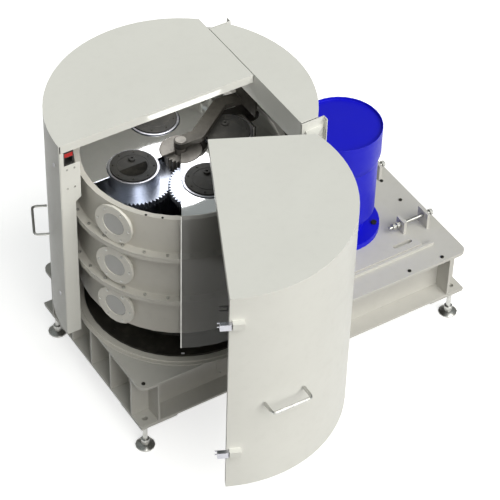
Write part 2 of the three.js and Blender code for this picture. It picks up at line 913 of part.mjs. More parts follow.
function tensionBolt(side) {
  const y = side * tensionY;
  const along = (radius, x0, x1, sides) => {
    const bar = new THREE.CylinderGeometry(radius, radius, x1 - x0, sides);
    return bar.rotateZ(Math.PI / 2).translate((x0 + x1) / 2, y, tensionZ);
  };
  const head = fixedEarX + 16 + slideTravel + 2;
  return joined(
    along(boltRadius, movingEarX - 64, head + 1, 12),
    along(17, head, head + 16, 6),
    along(17, movingEarX - 22, movingEarX - seat, 6),
    along(17, movingEarX - 46, movingEarX - 30, 6),
    along(17, movingEarX + 16 + seat, movingEarX + 32, 6),
  );
}

// The belt follows the two pulleys' outer tangents.
function belt() {
  const loop = (grow) => {
    const big = drumPulleyRadius + grow;
    const small = motorPulleyRadius + grow;
    const lean = Math.acos((big - small) / motorX) / deg;
    const round = arcPoints(big, lean, 360 - lean, 28);
    const tight = arcPoints(small, -lean, lean, 14).map(([x, y]) => [x + motorX, y]);
    return [...round, ...tight];
  };
  const z0 = pulleyBottom + 8;
  const z1 = pulleyTop - 8;
  return cut(slab(loop(seat + beltThick), z0, z1), slab(loop(running), z0 - 1, z1 + 1));
}

// ---------- assembly ----------
const machine = new THREE.Group();

addPiece(machine, "base_plate", basePlate(), "paint");
addPiece(machine, "bottom_flange", bottomFlange(), "paint");
addPiece(machine, "front_web", longWeb(-1), "paint");
addPiece(machine, "back_web", longWeb(1), "paint");
addPiece(machine, "left_web", crossWeb(webLeft, [-185, 0, 185]), "paint");
addPiece(machine, "right_web", crossWeb(webRight, []), "paint");
footSpots.forEach((spot, i) => addPiece(machine, `foot_${i + 1}`, foot(spot), "steel"));
addPiece(machine, "base_ring", baseRing(), "castPaint");
addPiece(machine, "shaft_bearing", shaftBearing(), "darkSteel");
addPiece(machine, "fixed_guard_wall", fixedWall(), "doorPaint");
addPiece(machine, "fixed_guard_roof", fixedRoof(), "paint");
addPiece(machine, "hinge_post_front", hingePost(-1), "doorPaint");
addPiece(machine, "hinge_post_back", hingePost(1), "doorPaint");
addPiece(machine, "support_arm", supportArm(), "darkSteel");
addPiece(machine, "centre_post", centrePost(), "darkSteel");
addPiece(machine, "sun_gear", sunGear(), "darkSteel");
addPiece(machine, "drive_belt", belt(), "rubber");

addPiece(machine, "turntable", turntable(), "black");
addPiece(machine, "drum_hub", drumHub(), "black");
addPiece(machine, "drum_shaft", drumShaft(), "steel");
addPiece(machine, "lower_housing", lowerHousing(), "castPaint");
addPiece(machine, "middle_housing", middleHousing(), "castPaint");
addPiece(machine, "upper_housing", upperHousing(), "castPaint");
addPiece(machine, "top_cover", topCover(), "mirror");
addPiece(machine, "centre_disc", centreDisc(), "darkSteel");
addPiece(machine, "shield", shield(), "tint");
windowHeights.forEach((z, i) => {
  addPiece(machine, `sight_window_${i + 1}`, sightWindow(z), "castPaint");
  addPiece(machine, `sight_glass_${i + 1}`, sightGlass(z), "glass");
});

for (let i = 0; i < 4; i += 1) {
  const satellite = new THREE.Group();
  const [x, y] = polar(orbit, i * 90);
  satellite.position.set(x, y, 0);
  addPiece(satellite, `barrel_${i + 1}`, barrelWithGear(i % 2 ? highGearZ : lowGearZ), "gearSteel");
  addPiece(satellite, `barrel_cap_${i + 1}`, barrelCap(), "capGrey");
  machine.add(satellite);
}

const backDoor = new THREE.Group();
addPiece(backDoor, "back_door_wall", doorWall(1, 0), "doorPaint");
addPiece(backDoor, "back_door_roof", doorRoof(1), "paint");
addPiece(backDoor, "back_door_post", backPost(), "doorPaint");
addPiece(backDoor, "back_handle", handle(1), "steel");
addPiece(backDoor, "interlock_switch", interlockSwitch(), "red");
machine.add(backDoor);

// The front door turns about its hinge; its pieces are drawn closed and carried round with it.
const frontDoor = new THREE.Group();
frontDoor.position.set(hingeX, -hingeY, 0);
frontDoor.rotation.z = doorOpen * deg;
const closedFrame = new THREE.Group();
closedFrame.position.set(-hingeX, hingeY, 0);
frontDoor.add(closedFrame);
addPiece(closedFrame, "front_door_wall", doorWall(-1, doorFlange), "doorPaint");
addPiece(closedFrame, "front_door_roof", doorRoof(-1), "paint");
addPiece(closedFrame, "front_handle", handle(-1), "steel");
addPiece(closedFrame, "interlock_tongue", interlockTongue(), "black");
latchHeights.forEach((z, i) => {
  addPiece(closedFrame, i ? "latch_upper" : "latch_lower", placeAtWall(latchArm(), z), "brightSteel");
});
machine.add(frontDoor);

addPiece(machine, "slide_plate", slidePlate(), "paint");
addPiece(machine, "motor_body", motorBody(), "blue");
addPiece(machine, "motor_cowl", motorCowl(), "blue");
addPiece(machine, "motor_shaft", motorShaft(), "steel");
addPiece(machine, "tension_bolt_front", tensionBolt(-1), "steel");
addPiece(machine, "tension_bolt_back", tensionBolt(1), "steel");

// The part's own origin is the centre of its bounding box, on the floor.
machine.updateMatrixWorld(true);
const extent = new THREE.Box3().setFromObject(machine, true);
machine.position.set(-(extent.min.x + extent.max.x) / 2, -(extent.min.y + extent.max.y) / 2, -extent.min.z);

const part = new THREE.Group();
part.add(machine);

export default part;
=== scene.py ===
# %% [markdown]
# # A planetary drum machine
# This lesson dresses a machine that was built as solids. A drum of three stacked housings turns
# on a welded base, and a sheet-metal guard with two curved doors stands round it. The solids carry
# the true sizes and the motion, so here each one gets its finish, its softened edges and the small
# parts that are too fine for the solids: screws, bolts, rims and keepers.

# %% Load the solids
import json
import math

import bmesh
import bpy
from mathutils import Matrix, Vector


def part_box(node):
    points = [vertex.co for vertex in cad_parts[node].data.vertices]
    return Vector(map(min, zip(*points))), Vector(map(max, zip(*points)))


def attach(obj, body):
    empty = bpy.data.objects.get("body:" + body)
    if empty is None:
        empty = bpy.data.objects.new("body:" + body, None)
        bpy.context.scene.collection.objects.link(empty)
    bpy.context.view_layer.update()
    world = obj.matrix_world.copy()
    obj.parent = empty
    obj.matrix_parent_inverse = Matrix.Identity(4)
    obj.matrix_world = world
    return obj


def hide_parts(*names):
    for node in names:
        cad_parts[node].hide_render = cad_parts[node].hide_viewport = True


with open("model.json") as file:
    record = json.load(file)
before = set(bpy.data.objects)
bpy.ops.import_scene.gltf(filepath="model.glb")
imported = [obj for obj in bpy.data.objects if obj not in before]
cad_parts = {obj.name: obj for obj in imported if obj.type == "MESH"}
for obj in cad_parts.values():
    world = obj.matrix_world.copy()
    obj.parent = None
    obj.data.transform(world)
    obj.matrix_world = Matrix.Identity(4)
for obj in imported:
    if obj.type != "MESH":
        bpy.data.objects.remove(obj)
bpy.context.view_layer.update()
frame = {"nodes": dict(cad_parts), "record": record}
record = frame["record"]
body_of_node = {
    node: body for body, nodes in record["behaviour"]["bodies"].items() for node in nodes
}
slot_of_node = {part["node"]: part["material_slot"] for part in record["subparts"]}

# %% [markdown]
# ## Finding places on the machine
# Everything on a machine like this is set out from the drum's axis and from the deck, the top face
# of the base plate. The turntable is round, so the middle of its box gives the axis, and its top
# stands a known height above the deck, which gives the level. A helper turns millimetres from
# there into scene metres, because a maker reads the machine in millimetres.

# %% The drum's axis and the deck
table_low, table_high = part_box("turntable")
AXIS_X = (table_low.x + table_high.x) / 2
AXIS_Y = (table_low.y + table_high.y) / 2
MM = 0.001
TURNTABLE_TOP = 24  # mm above the deck
DECK_Z = table_high.z - TURNTABLE_TOP * MM


def at(x, y, z):
    """A place in millimetres from the drum's axis and the deck."""
    return Vector((AXIS_X + x * MM, AXIS_Y + y * MM, DECK_Z + z * MM))


def round_axis(radius, angle, z):
    """A place on a circle round the drum's axis, with the angle in degrees."""
    turn = math.radians(angle)
    return at(radius * math.cos(turn), radius * math.sin(turn), z)


def outward(angle):
    """The level direction away from the drum's axis at an angle."""
    turn = math.radians(angle)
    return Vector((math.cos(turn), math.sin(turn), 0))


UP = Vector((0, 0, 1))
print("drum axis", round(AXIS_X, 4), round(AXIS_Y, 4), "deck", round(DECK_Z, 4))

# %% [markdown]
# ## Camera
# The machine is looked at from the front left and from well above, with a long lens so that
# upright edges stay nearly parallel. A camera can be aimed with a constraint, but a constraint
# hides the roll, so its three directions are worked out from a heading, a dip and a small roll.

# %% Place the camera
heading = math.radians(33.0845)
dip = math.radians(43.3577)
roll = math.radians(1.8373)
forward = Vector(
    (math.sin(heading) * math.cos(dip), math.cos(heading) * math.cos(dip), -math.sin(dip))
)
level_right = Vector((math.cos(heading), -math.sin(heading), 0))
level_up = level_right.cross(forward)
camera_right = level_right * math.cos(roll) + level_up * math.sin(roll)
camera_up = level_up * math.cos(roll) - level_right * math.sin(roll)
camera_data = bpy.data.cameras.new("camera")
camera_data.lens = 157.45
camera_data.sensor_width = 36
camera_data.clip_end = 60
camera = bpy.data.objects.new("camera", camera_data)
bpy.context.scene.collection.objects.link(camera)
camera.matrix_world = Matrix.Translation(at(-3739.59, -6328.73, 7203.10)) @ Matrix(
    (camera_right, camera_up, -forward)
).transposed().to_4x4()
bpy.context.scene.camera = camera
print("camera", [round(v, 3) for v in camera.location])

# %% [markdown]
# ## Floor and light
# A product of this kind is shown on a plain white floor under broad soft light. The floor is kept
# out of the diffuse bounces, because a floor bright enough to look white would otherwise light the
# machine strongly from below and wash out the shade under it.

# %% Lay the floor
bpy.ops.object.select_all(action="DESELECT")
bpy.ops.mesh.primitive_plane_add(size=60, location=(0, 0, 0))
floor = bpy.context.object
floor.name = "floor"
bpy.ops.object.mode_set(mode="EDIT")
bpy.ops.mesh.subdivide(number_cuts=3)
bpy.ops.object.mode_set(mode="OBJECT")
floor_paint = bpy.data.materials.new("floor_white")
floor_paint.use_nodes = True
floor_shader = floor_paint.node_tree.nodes["Principled BSDF"]
floor_shader.inputs["Base Color"].default_value = (0.8, 0.8, 0.8, 1)
floor_shader.inputs["Roughness"].default_value = 0.9
floor_shader.inputs["Specular IOR Level"].default_value = 0.0
floor_shader.inputs["Emission Color"].default_value = (1, 1, 1, 1)
floor_shader.inputs["Emission Strength"].default_value = 0.62
floor.data.materials.append(floor_paint)
floor.visible_diffuse = False
print("floor laid at z = 0")

# %% [markdown]
# The sky is weak and slightly warm near the horizon, which gives upright sheets their warmer
# white. Two suns with wide discs give the broad light: the main one from the front, and a low weak
# one beside it that keeps the post and the drum readable.

# %% Light the studio
world = bpy.data.worlds.new("studio")
bpy.context.scene.world = world
world.use_nodes = True
sky_nodes = world.node_tree.nodes
sky_links = world.node_tree.links
sky_direction = sky_nodes.new("ShaderNodeTexCoord")
sky_height = sky_nodes.new("ShaderNodeSeparateXYZ")
sky_span = sky_nodes.new("ShaderNodeMapRange")
sky_span.inputs["From Min"].default_value = -1.0
sky_ramp = sky_nodes.new("ShaderNodeValToRGB")
sky_ramp.color_ramp.elements[0].position = 0.35
sky_ramp.color_ramp.elements[0].color = (0.11, 0.10, 0.09, 1)
sky_ramp.color_ramp.elements[1].position = 0.85
sky_ramp.color_ramp.elements[1].color = (0.93, 1.0, 0.99, 1)
sky_middle = sky_ramp.color_ramp.elements.new(0.55)
sky_middle.color = (0.62, 0.59, 0.53, 1)
sky_links.new(sky_direction.outputs["Generated"], sky_height.inputs[0])
sky_links.new(sky_height.outputs["Z"], sky_span.inputs["Value"])
sky_links.new(sky_span.outputs["Result"], sky_ramp.inputs["Fac"])
sky_links.new(sky_ramp.outputs["Color"], sky_nodes["Background"].inputs["Color"])
sky_nodes["Background"].inputs["Strength"].default_value = 0.30


def broad_sun(name, bearing, rise, strength, width, colour):
    """A sun with a wide disc, from a bearing round the machine and a height above the horizon."""
    data = bpy.data.lights.new(name, "SUN")
    data.energy = strength
    data.angle = math.radians(width)
    data.color = colour
    lamp = bpy.data.objects.new(name, data)
    bpy.context.scene.collection.objects.link(lamp)
    level = math.cos(math.radians(rise))
    source = Vector(
        (
            level * math.cos(math.radians(bearing)),
            level * math.sin(math.radians(bearing)),
            math.sin(math.radians(rise)),
        )
    )
    lamp.matrix_world = source.to_track_quat("Z", "Y").to_matrix().to_4x4()
    return lamp


broad_sun("main_light", -79, 42, 2.95, 56, (1.0, 0.988, 0.945))
broad_sun("side_light", -102, 22, 0.35, 60, (1.0, 0.97, 0.92))
bpy.context.scene.view_settings.view_transform = "Standard"

# %% [markdown]
# The polished cover looks black if it has nothing bright to mirror. A round light close under the
# roof shows in it as a white disc, and also lights the inside of the guard. It is a studio light
# and no piece of the machine, so the camera doesn't see it.

# %% Set the light under the roof
lamp_data = bpy.data.lights.new("work_lamp", "AREA")
lamp_data.shape = "DISK"
lamp_data.size = 0.45
lamp_data.energy = 1.5
lamp_data.spread = math.radians(150)
lamp = bpy.data.objects.new("work_lamp", lamp_data)
bpy.context.scene.collection.objects.link(lamp)
lamp.location = at(20, 128, 1124)
lamp.visible_camera = False

# %% [markdown]
# ## How the finishes are made
# Each finish is a Principled shader whose constant numbers sit on its own sockets, with a node
# group in front of it that works out the fine detail from the object's own coordinates. A group is
# made once for each kind of surface: sprayed coats, brushed bar, turned faces, and moulded or
# oiled skins. Painting image textures would also work, but worked-out detail has no seams and
# stays sharp at any size.


# %% Small helpers for shader groups
def detail_group(name, inputs, outputs):
    """A new shader group with its sockets, and its input and output nodes."""
    tree = bpy.data.node_groups.new(name, "ShaderNodeTree")
    for label, kind, value in inputs:
        socket = tree.interface.new_socket(
            label, in_out="INPUT", socket_type="NodeSocket" + kind
        )
        socket.default_value = value
    for label, kind in outputs:
        tree.interface.new_socket(label, in_out="OUTPUT", socket_type="NodeSocket" + kind)
    return tree, tree.nodes.new("NodeGroupInput"), tree.nodes.new("NodeGroupOutput")


def shader_node(tree, kind, values=(), **settings):
    """A node of one kind, with its settings and the values of its sockets."""
    made = tree.nodes.new("ShaderNode" + kind)
    for key, value in settings.items():
        setattr(made, key, value)
    for key, value in dict(values).items():
        made.inputs[key].default_value = value
    return made


def noise(tree, coordinates, scale, detail=2.0, rough=0.5):
    """A noise texture on some coordinates; returns its value."""
    made = shader_node(
        tree, "TexNoise", {"Scale": scale, "Detail": detail, "Roughness": rough}
    )
    tree.links.new(coordinates, made.inputs["Vector"])
    return made.outputs["Fac"]


def spread(tree, value, low, high, to_low, to_high):
    """A value's span turned into another span."""
    made = shader_node(
        tree,
        "MapRange",
        {"From Min": low, "From Max": high, "To Min": to_low, "To Max": to_high},
    )
    tree.links.new(value, made.inputs["Value"])
    return made.outputs["Result"]


def blend_colours(tree, share, first, second, way="MIX"):
    """One colour laid over another by a share."""
    made = shader_node(tree, "Mix", data_type="RGBA", blend_type=way)
    for socket, source in ((0, share), (6, first), (7, second)):
        if isinstance(source, bpy.types.NodeSocket):
            tree.links.new(source, made.inputs[socket])
        else:
            made.inputs[socket].default_value = source
    return made.outputs[2]


def reckon(tree, way, first, second=None):
    """Arithmetic on two values."""
    made = shader_node(tree, "Math", operation=way)
    for socket, source in ((0, first), (1, second)):
        if isinstance(source, bpy.types.NodeSocket):
            tree.links.new(source, made.inputs[socket])
        elif source is not None:
            made.inputs[socket].default_value = source
    return made.outputs[0]


def edge_share(tree, radius):
    """How near a point is to a sharp edge: 1 on the edge, 0 away from it."""
    soft = shader_node(tree, "Bevel", {"Radius": radius}, samples=4)
    face = shader_node(tree, "NewGeometry")
    dot = shader_node(tree, "VectorMath", operation="DOT_PRODUCT")
    tree.links.new(soft.outputs["Normal"], dot.inputs[0])
    tree.links.new(face.outputs["Normal"], dot.inputs[1])
    return spread(tree, dot.outputs["Value"], 0.995, 0.86, 0.0, 1.0)


print("shader helpers ready")

# %% [markdown]
# ## Sprayed coats
# Powder coat on sheet steel isn't mirror smooth: it has a fine orange peel, it varies a little in
# tone over a hand's breadth, and it is rubbed slightly brighter where hands and spanners touch the
# edges. Three noises of very different sizes give these, and the edge share comes from comparing a
# softened normal with the real one.

# %% The sprayed coat group
coat, coat_in, coat_out = detail_group(
    "sprayed_coat",
    [
        ("Paint", "Color", (0.6, 0.6, 0.6, 1)),
        ("Worn", "Color", (0.7, 0.7, 0.7, 1)),
        ("Unevenness", "Float", 0.06),
        ("Peel", "Float", 0.12),
        ("Gloss", "Float", 0.4),
    ],
    [("Colour", "Color"), ("Roughness", "Float"), ("Normal", "Vector")],
)
coat_place = shader_node(coat, "TexCoord").outputs["Object"]
coat_cloud = noise(coat, coat_place, 3.2, 4.0, 0.55)
coat_grime = noise(coat, coat_place, 26.0, 5.0, 0.62)
coat_peel = noise(coat, coat_place, 380.0, 1.5, 0.4)
coat_darker = reckon(
    coat, "MULTIPLY", spread(coat, coat_cloud, 0.35, 0.7, 0.0, 1.0), coat_in.outputs["Unevenness"]
)
coat_speck = reckon(
    coat,
    "MULTIPLY",
    spread(coat, coat_grime, 0.5, 0.78, 0.0, 1.0),
    reckon(coat, "MULTIPLY", coat_in.outputs["Unevenness"], 0.8),
)
coat_tone = blend_colours(
    coat,
    reckon(coat, "ADD", coat_darker, coat_speck),
    coat_in.outputs["Paint"],
    (0.12, 0.11, 0.09, 1),
)
coat_edge = reckon(
    coat,
    "MULTIPLY",
    edge_share(coat, 0.0025),
    spread(coat, coat_grime, 0.36, 0.6, 0.15, 0.7),
)
coat.links.new(
    blend_colours(coat, coat_edge, coat_tone, coat_in.outputs["Worn"]),
    coat_out.inputs["Colour"],
)
coat.links.new(
    reckon(
        coat, "ADD", coat_in.outputs["Gloss"], spread(coat, coat_grime, 0.3, 0.7, -0.05, 0.08)
    ),
    coat_out.inputs["Roughness"],
)
coat_bump = shader_node(coat, "Bump", {"Distance": 0.0004})
coat.links.new(coat_peel, coat_bump.inputs["Height"])
coat.links.new(coat_in.outputs["Peel"], coat_bump.inputs["Strength"])
coat.links.new(coat_bump.outputs["Normal"], coat_out.inputs["Normal"])
print("sprayed coat group:", len(coat.nodes), "nodes")

# %% [markdown]
# ## Bare metal
# Bare metal on a machine is either brushed along its length or turned on a lathe. Both are the same
# idea: noise that is squeezed hard across the marks. For a brushed bar the squeeze is a straight
# one, and for a turned face the noise reads only the distance from the piece's own axis.

# %% The brushed metal group
brushed, brushed_in, brushed_out = detail_group(
    "brushed_metal",
    [
        ("Metal", "Color", (0.6, 0.6, 0.6, 1)),
        ("Stain", "Color", (0.3, 0.3, 0.3, 1)),
        ("Grain", "Vector", (900.0, 900.0, 12.0)),
        ("Marks", "Float", 0.15),
        ("Gloss", "Float", 0.3),
    ],
    [("Colour", "Color"), ("Roughness", "Float"), ("Normal", "Vector")],
)
brushed_place = shader_node(brushed, "TexCoord").outputs["Object"]
brushed_squeeze = shader_node(brushed, "VectorMath", operation="MULTIPLY")
brushed.links.new(brushed_place, brushed_squeeze.inputs[0])
brushed.links.new(brushed_in.outputs["Grain"], brushed_squeeze.inputs[1])
brushed_lines = noise(brushed, brushed_squeeze.outputs["Vector"], 1.0, 3.0, 0.6)
brushed_cloud = noise(brushed, brushed_place, 30.0, 4.0, 0.6)
brushed_dull = blend_colours(
    brushed,
    spread(brushed, brushed_cloud, 0.42, 0.75, 0.0, 0.7),
    brushed_in.outputs["Metal"],
    brushed_in.outputs["Stain"],
)
brushed.links.new(brushed_dull, brushed_out.inputs["Colour"])
brushed.links.new(
    reckon(
        brushed,
        "ADD",
        brushed_in.outputs["Gloss"],
        spread(brushed, brushed_lines, 0.3, 0.7, -0.07, 0.1),
    ),
    brushed_out.inputs["Roughness"],
)
brushed_bump = shader_node(brushed, "Bump", {"Distance": 0.0002})
brushed.links.new(brushed_lines, brushed_bump.inputs["Height"])
brushed.links.new(brushed_in.outputs["Marks"], brushed_bump.inputs["Strength"])
brushed.links.new(brushed_bump.outputs["Normal"], brushed_out.inputs["Normal"])

# %% [markdown]
# A lathe leaves fine circles. The group measures how far a point is from the piece's own axis, and
# its height, and feeds both to a noise, so the marks run round the piece.

# %% The turned metal group
turned, turned_in, turned_out = detail_group(
    "turned_metal",
    [
        ("Metal", "Color", (0.6, 0.6, 0.6, 1)),
        ("Stain", "Color", (0.3, 0.3, 0.3, 1)),
        ("Centre", "Vector", (0.0, 0.0, 0.0)),
        ("Fineness", "Float", 700.0),
        ("Marks", "Float", 0.1),
        ("Gloss", "Float", 0.2),
    ],
    [("Colour", "Color"), ("Roughness", "Float"), ("Normal", "Vector")],
)
turned_place = shader_node(turned, "TexCoord").outputs["Object"]
turned_offset = shader_node(turned, "VectorMath", operation="SUBTRACT")
turned.links.new(turned_place, turned_offset.inputs[0])
turned.links.new(turned_in.outputs["Centre"], turned_offset.inputs[1])
turned_flat = shader_node(turned, "VectorMath", {1: (1, 1, 0)}, operation="MULTIPLY")
turned.links.new(turned_offset.outputs["Vector"], turned_flat.inputs[0])
turned_reach = shader_node(turned, "VectorMath", operation="LENGTH")
turned.links.new(turned_flat.outputs["Vector"], turned_reach.inputs[0])
turned_height = shader_node(turned, "SeparateXYZ")
turned.links.new(turned_offset.outputs["Vector"], turned_height.inputs[0])
turned_both = shader_node(turned, "CombineXYZ")
turned.links.new(
    reckon(
        turned, "MULTIPLY", turned_reach.outputs["Value"], turned_in.outputs["Fineness"]
    ),
    turned_both.inputs["X"],
)
turned.links.new(
    reckon(turned, "MULTIPLY", turned_height.outputs["Z"], turned_in.outputs["Fineness"]),
    turned_both.inputs["Y"],
)
turned_lines = noise(turned, turned_both.outputs["Vector"], 1.0, 3.0, 0.6)
turned_cloud = noise(turned, turned_place, 14.0, 4.0, 0.6)
turned.links.new(
    blend_colours(
        turned,
        spread(turned, turned_cloud, 0.42, 0.72, 0.0, 0.7),
        turned_in.outputs["Metal"],
        turned_in.outputs["Stain"],
    ),
    turned_out.inputs["Colour"],
)
turned.links.new(
    reckon(
        turned,
        "ADD",
        turned_in.outputs["Gloss"],
        spread(turned, turned_lines, 0.3, 0.7, -0.03, 0.06),
    ),
    turned_out.inputs["Roughness"],
)
turned_bump = shader_node(turned, "Bump", {"Distance": 0.0001})
turned.links.new(turned_lines, turned_bump.inputs["Height"])
turned.links.new(turned_in.outputs["Marks"], turned_bump.inputs["Strength"])
turned.links.new(turned_bump.outputs["Normal"], turned_out.inputs["Normal"])
print("metal groups ready")


# %% [markdown]
# ## From a group to a finish
# A finish is the group plus one Principled shader. The helper takes the group, the values for its
# sockets and the shader's own constants, so that each finish below is one short call.


# %% The finish helper
def finish_from(name, group, details, constants):
    """A material whose detail comes from a group and whose constants sit on the shader."""
    made = bpy.data.materials.new(name)
    made.use_nodes = True
    tree = made.node_tree
    shader = tree.nodes["Principled BSDF"]
    detail = tree.nodes.new("ShaderNodeGroup")
    detail.node_tree = group
    for key, value in details.items():
        detail.inputs[key].default_value = value
    for key, value in constants.items():
        shader.inputs[key].default_value = value
    tree.links.new(detail.outputs["Colour"], shader.inputs["Base Color"])
    tree.links.new(detail.outputs["Roughness"], shader.inputs["Roughness"])
    tree.links.new(detail.outputs["Normal"], shader.inputs["Normal"])
    return made


def tone(red, green, blue):
    """A colour with full cover."""
    return (red, green, blue, 1.0)


# %% [markdown]
# The painted surfaces share the sprayed coat group. They differ in tone, in how uneven the coat
# is, and in gloss: the guard is clean and satin, the base is handled more, the turntable and the
# caps are black, and the motor is a saturated blue.

# %% The painted finishes
finishes = {}
finishes["guard_paint"] = finish_from(
    "guard_paint",
    coat,
    {"Paint": tone(0.745, 0.745, 0.705), "Worn": tone(0.84, 0.83, 0.80), "Unevenness": 0.035},
    {"Specular IOR Level": 0.35},
)
# The base paint is set darker than the guard's. The darker tone is partly painted shade, for the
# base parts that stand in shade under the guard.
finishes["light_paint"] = finish_from(
    "light_paint",
    coat,
    {"Paint": tone(0.56, 0.55, 0.515), "Worn": tone(0.72, 0.71, 0.67), "Unevenness": 0.06},
    {"Specular IOR Level": 0.35},
)
finishes["drum_paint"] = finish_from(
    "drum_paint",
    coat,
    {"Paint": tone(0.63, 0.61, 0.56), "Worn": tone(0.72, 0.71, 0.66), "Unevenness": 0.07},
    {"Specular IOR Level": 0.4},
)
finishes["window_paint"] = finish_from(
    "window_paint",
    coat,
    {"Paint": tone(0.82, 0.80, 0.74), "Worn": tone(0.9, 0.9, 0.86), "Unevenness": 0.04},
    {"Specular IOR Level": 0.4},
)
finishes["cap_coat"] = finish_from(
    "cap_coat",
    coat,
    {
        "Paint": tone(0.014, 0.0145, 0.015),
        "Worn": tone(0.06, 0.06, 0.06),
        "Unevenness": 0.2,
        "Gloss": 0.5,
    },
    {"Specular IOR Level": 0.22},
)
finishes["black_coat"] = finish_from(
    "black_coat",
    coat,
    {
        "Paint": tone(0.012, 0.012, 0.011),
        "Worn": tone(0.06, 0.06, 0.055),
        "Unevenness": 0.3,
        "Gloss": 0.4,
    },
    {"Specular IOR Level": 0.2},
)
finishes["blue_paint"] = finish_from(
    "blue_paint",
    coat,
    {
        "Paint": tone(0.006, 0.006, 0.58),
        "Worn": tone(0.06, 0.06, 0.72),
        "Unevenness": 0.03,
        "Peel": 0.05,
        "Gloss": 0.42,
    },
    {"Specular IOR Level": 0.3},
)
# A near-black with almost no shine, used as painted shade: the half-moon well on cap 3 and the two
# holes in the drum's rim.
finishes["painted_shade_black"] = finish_from(
    "painted_shade_black",
    coat,
    {
        "Paint": tone(0.004, 0.004, 0.004),
        "Worn": tone(0.03, 0.03, 0.03),
        "Unevenness": 0.2,
        "Gloss": 0.75,
    },
    {"Specular IOR Level": 0.04},
)
finishes["keeper_white"] = finish_from(
    "keeper_white",
    coat,
    {"Paint": tone(0.82, 0.81, 0.86), "Worn": tone(0.9, 0.9, 0.92), "Gloss": 0.35},
    {"Specular IOR Level": 0.5},
)
print(len(finishes), "painted finishes")

# %% [markdown]
# The metals use the two metal groups. Handles and feet are brushed steel, latches are plated, the
# arm and the sun gear are oiled and dark, and the barrels and the cover are turned and polished.
# Each barrel has its own finish, because the circles need that barrel's centre.

# %% The metal finishes
finishes["steel"] = finish_from(
    "steel",
    brushed,
    {"Metal": tone(0.56, 0.56, 0.54), "Stain": tone(0.32, 0.315, 0.29), "Gloss": 0.27},
    {"Metallic": 1.0},
)
finishes["bright_steel"] = finish_from(
    "bright_steel",
    brushed,
    {
        "Metal": tone(0.52, 0.52, 0.56),
        "Stain": tone(0.40, 0.40, 0.45),
        "Grain": (14.0, 14.0, 700.0),
        "Gloss": 0.3,
    },
    {"Metallic": 1.0},
)
finishes["dark_steel"] = finish_from(
    "dark_steel",
    brushed,
    {
        "Metal": tone(0.045, 0.041, 0.034),
        "Stain": tone(0.022, 0.02, 0.016),
        "Grain": (60.0, 60.0, 60.0),
        "Marks": 0.25,
        "Gloss": 0.42,
    },
    {"Metallic": 0.35, "Specular IOR Level": 0.35},
)
finishes["post_steel"] = finish_from(
    "post_steel",
    brushed,
    {
        "Metal": tone(0.17, 0.16, 0.145),
        "Stain": tone(0.09, 0.085, 0.075),
        "Grain": (60.0, 60.0, 60.0),
        "Marks": 0.2,
        "Gloss": 0.38,
    },
    {"Metallic": 0.5},
)
for number in (1, 2, 3, 4):
    low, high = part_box(f"barrel_{number}")
    finishes[f"gear_steel_{number}"] = finish_from(
        f"gear_steel_{number}",
        turned,
        {
            "Metal": tone(0.50, 0.53, 0.61),
            "Stain": tone(0.34, 0.37, 0.44),
            "Centre": (low + high) / 2,
            "Marks": 0.12,
            "Gloss": 0.29,
        },
        {"Metallic": 1.0},
    )
finishes["mirror_polish"] = finish_from(
    "mirror_polish",
    turned,
    {
        "Metal": tone(0.93, 0.93, 0.93),
        "Stain": tone(0.88, 0.88, 0.87),
        "Centre": at(0, 0, 0),
        "Fineness": 260.0,
        "Marks": 0.01,
        "Gloss": 0.05,
    },
    {"Metallic": 1.0},
)
print(len(finishes), "finishes so far")

# %% [markdown]
# ## Rubber, plastic and glass
# Moulded pieces use the sprayed coat group with a coarser skin and no shine. The window glass is
# thick and has the dark drum behind it, so a grey under a clear coat stands for it: painted shade
# of the unlit drum inside. The screen is a thin sheet that hardly bends light, so its alpha lets
# the light straight through.

# %% The moulded and clear finishes
finishes["black_plastic"] = finish_from(
    "black_plastic",
    coat,
    {
        "Paint": tone(0.02, 0.02, 0.02),
        "Worn": tone(0.09, 0.09, 0.09),
        "Unevenness": 0.1,
        "Peel": 0.25,
        "Gloss": 0.5,
    },
    {"Specular IOR Level": 0.4},
)
finishes["red_label"] = finish_from(
    "red_label",
    coat,
    {"Paint": tone(0.5, 0.02, 0.02), "Worn": tone(0.6, 0.2, 0.2), "Gloss": 0.4},
    {"Specular IOR Level": 0.4},
)
finishes["belt_rubber"] = finish_from(
    "belt_rubber",
    coat,
    {
        "Paint": tone(0.03, 0.03, 0.03),
        "Worn": tone(0.08, 0.08, 0.08),
        "Unevenness": 0.2,
        "Peel": 0.4,
        "Gloss": 0.75,
    },
    {"Specular IOR Level": 0.3},
)
# The grey paint on the window glass is painted shade: it stands for the drum's dark inside.
finishes["window_glass"] = finish_from(
    "window_glass",
    coat,
    {
        "Paint": tone(0.40, 0.40, 0.385),
        "Worn": tone(0.85, 0.85, 0.85),
        "Unevenness": 0.05,
        "Peel": 0.0,
        "Gloss": 0.08,
    },
    {"Specular IOR Level": 0.5, "Coat Weight": 0.4, "Coat Roughness": 0.05},
)
finishes["clear_tint"] = finish_from(
    "clear_tint",
    coat,
    {
        "Paint": tone(0.30, 0.30, 0.295),
        "Worn": tone(0.8, 0.8, 0.8),
        "Unevenness": 0.03,
        "Peel": 0.0,
        "Gloss": 0.03,
    },
    {"Alpha": 0.42, "Specular IOR Level": 0.3},
)
print(len(finishes), "finishes in all")

# %% [markdown]
# ## Softening the solids' edges
# A solid from a modeller has knife-sharp edges and flat facets, which real bent and sprayed sheet
# never has. For each solid a copy is merged, its flat facets are joined, its edges get a small
# bevel and its curved faces are shaded smooth. The solid itself is left alone and the copy stands
# for it. A rounded-edge shader would be quicker, but a real bevel also catches light at the rim.


# %% Select helpers
def only(piece):
    """Selects one piece and nothing else."""
    bpy.ops.object.select_all(action="DESELECT")
    piece.select_set(True)
    bpy.context.view_layer.objects.active = piece


